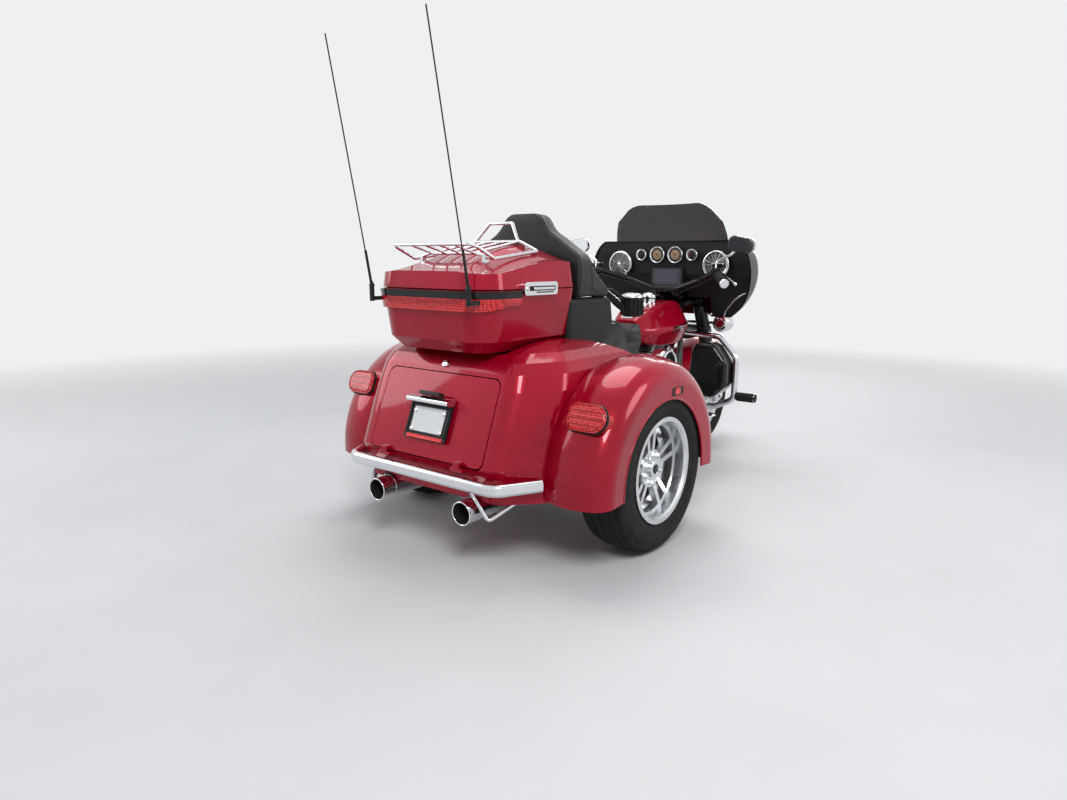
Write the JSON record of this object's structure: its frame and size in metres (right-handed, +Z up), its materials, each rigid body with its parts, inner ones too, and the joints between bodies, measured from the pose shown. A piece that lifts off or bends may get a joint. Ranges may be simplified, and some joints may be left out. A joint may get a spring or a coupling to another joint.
{
  "type": "motorized touring trike",
  "caption": "Three-wheeled touring motorcycle with a wide luggage body between the rear wheels, a top case with a rack, a handlebar fairing and an open V-twin engine.",
  "frame": {"origin": "on the ground, under the middle of the overall length, on the centre plane", "axes": "+Y forward, +X to the rider's right, +Z up"},
  "size_m": [1.39, 2.782, 1.8505],
  "materials": {
    "red_paint": "deep red gloss with clear coat",
    "black_paint": "gloss black",
    "black_plastic": "satin black",
    "frame_black": "satin black",
    "chrome": "polished",
    "engine_alloy": "cast, dark grey with machined edges",
    "wheel_alloy": "machined and polished cast alloy",
    "tyre": "moulded tread",
    "rubber": "ribbed black",
    "seat_cover": "grained black vinyl",
    "smoked_glass": "dark smoked",
    "red_lens": "clear red lens"
  },
  "bodies": {
    "chassis": {"rear_axle": "frame_black", "fender_left": "red_paint", "fender_right": "red_paint", "trunk_body": "red_paint", "tail_lamps": "red_lens", "rear_bumper": "chrome", "top_case_base": "red_paint", "case_lamp_bar": "red_lens", "frame_backbone": "frame_black", "frame_cradle": "frame_black", "engine_cases": "engine_alloy", "cylinders": "engine_alloy", "primary_cover": "chrome", "air_cleaner": "chrome", "exhaust_pipes": "chrome", "fuel_tank": "red_paint", "tank_console": "chrome", "seat": "seat_cover", "backrest": "seat_cover", "speaker_pods": "black_plastic", "side_covers": "red_paint", "engine_guard": "chrome", "lower_fairings": "black_paint", "foot_rests": "rubber", "whips": "black_plastic", "drink_holder": "black_plastic"},
    "steering": {"fork": "chrome", "front_fender": "red_paint", "fairing_outer": "red_paint", "fairing_dash": "black_plastic", "windshield": "smoked_glass", "front_lamps": "chrome", "handlebar": "chrome", "mirrors": "chrome"},
    "front_wheel": {"front_tyre": "tyre", "front_rim": "wheel_alloy"},
    "rear_wheel_left": {"rear_tyre_left": "tyre", "rear_rim_left": "wheel_alloy"},
    "rear_wheel_right": {"rear_tyre_right": "tyre", "rear_rim_right": "wheel_alloy"},
    "trunk_door": {"trunk_door": "red_paint", "plate_bracket": "black_plastic"},
    "top_case_lid": {"top_case_lid": "red_paint", "luggage_rack": "chrome", "case_latch": "chrome"}
  },
  "joints": [
    {"name": "steering_turn", "type": "hinge", "parent": "chassis", "child": "steering", "pos_m": [0, 0.78269, 0.79], "axis": [0, -0.4384, 0.8988], "range_deg": [-35, 35]},
    {"name": "front_wheel_spin", "type": "hinge", "parent": "steering", "child": "front_wheel", "pos_m": [0, 1.069, 0.32], "axis": [-1, 0, 0], "continuous": true},
    {"name": "rear_wheel_left_spin", "type": "hinge", "parent": "chassis", "child": "rear_wheel_left", "pos_m": [-0.575, -0.601, 0.3235], "axis": [-1, 0, 0], "continuous": true},
    {"name": "rear_wheel_right_spin", "type": "hinge", "parent": "chassis", "child": "rear_wheel_right", "pos_m": [0.575, -0.601, 0.3235], "axis": [-1, 0, 0], "continuous": true},
    {"name": "trunk_door_hinge", "type": "hinge", "parent": "chassis", "child": "trunk_door", "pos_m": [0, -1.233, 0.38], "axis": [1, 0, 0], "range_deg": [0, 90]},
    {"name": "top_case_lid_hinge", "type": "hinge", "parent": "chassis", "child": "top_case_lid", "pos_m": [-0.296, -0.836, 1.006], "axis": [0, -1, 0], "range_deg": [0, 80]}
  ]
}
